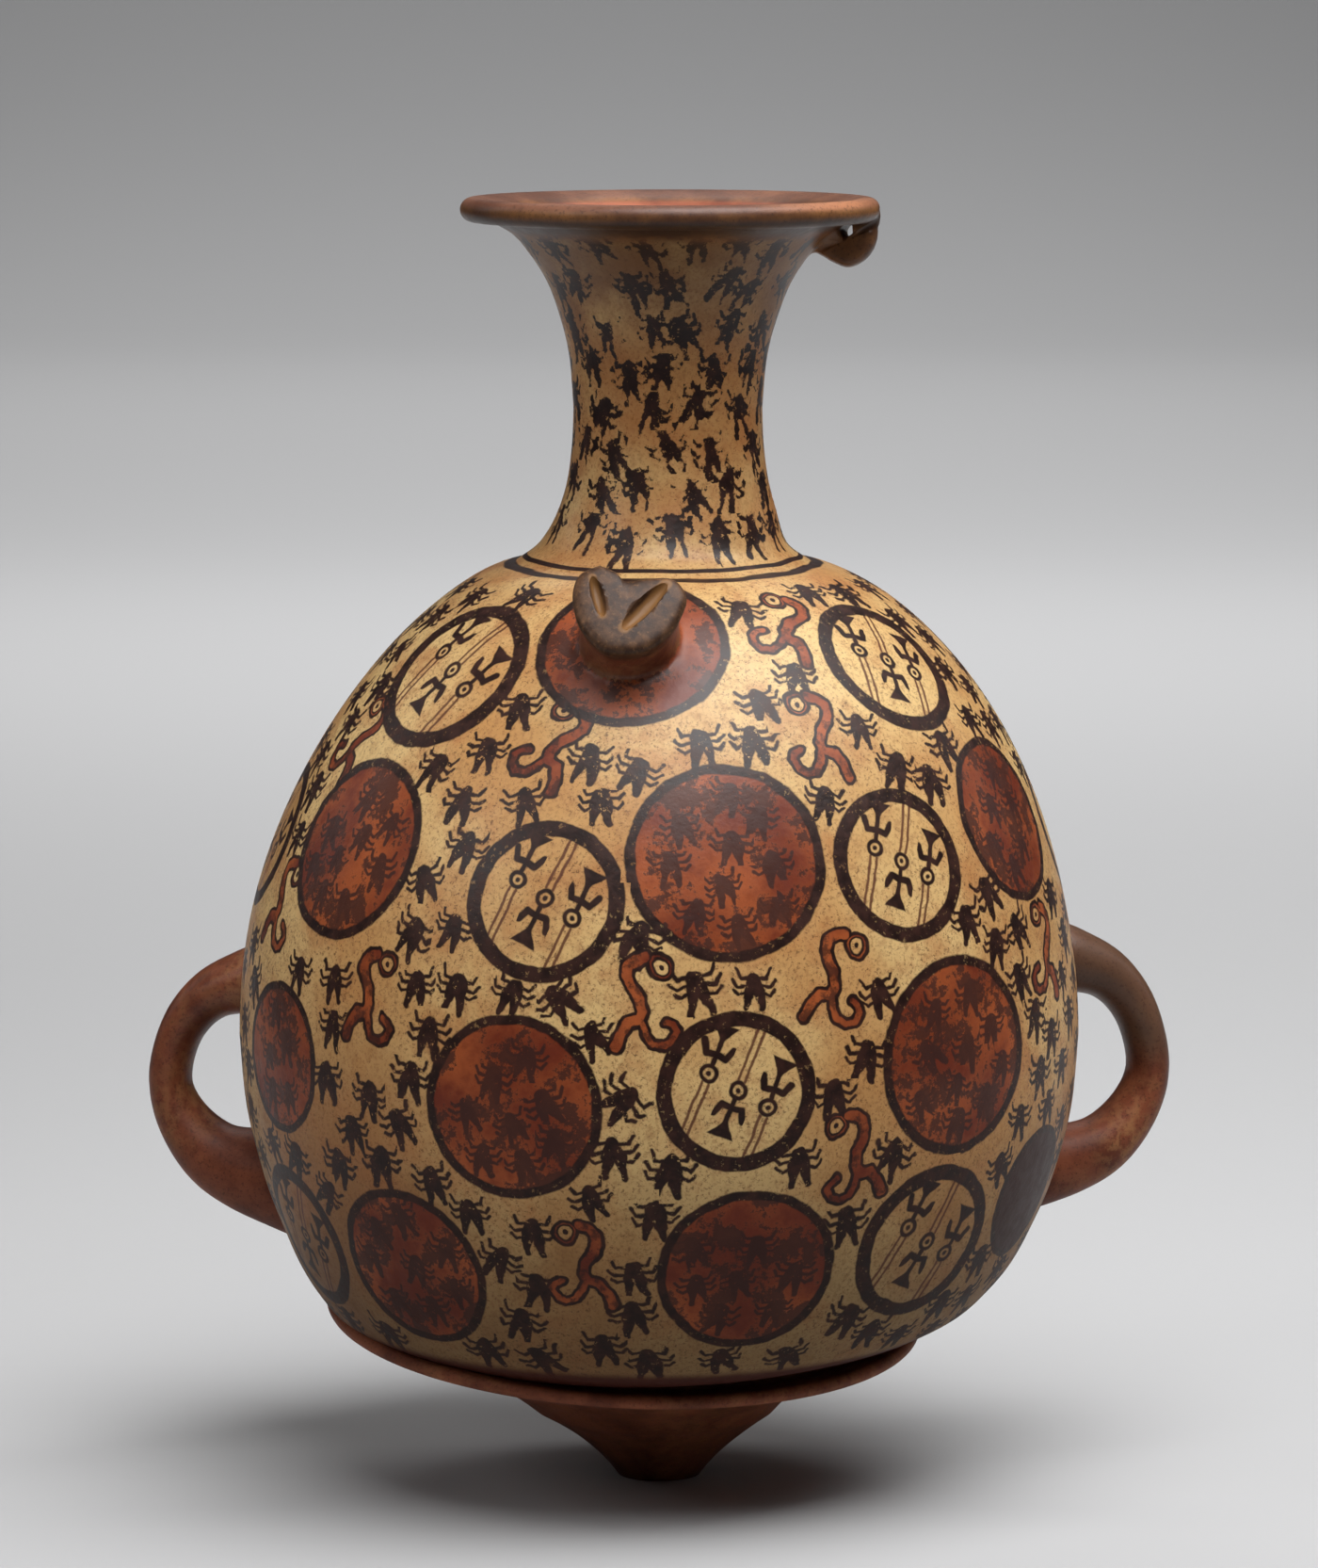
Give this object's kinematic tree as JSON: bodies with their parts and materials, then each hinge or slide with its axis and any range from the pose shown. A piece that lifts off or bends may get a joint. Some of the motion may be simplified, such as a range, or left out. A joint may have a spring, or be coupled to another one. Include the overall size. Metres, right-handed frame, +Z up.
{
  "type": "painted pottery urpu jar",
  "caption": "Pot-bellied pottery jar with a trumpet neck, strap handles, a pierced rim lug and a small animal head, on a saucer-like flange with a cone foot",
  "frame": {"origin": "centre of the flat under the cone foot", "axes": "+Z up, -Y the front with the head, +X the side with the lug under the rim"},
  "size_m": [0.1768, 0.143, 0.2201],
  "materials": {
    "clay": "burnished cream slip painted in dark brown and red, worn and speckled"
  },
  "bodies": {
    "root": {"jar": "clay"}
  },
  "joints": []
}
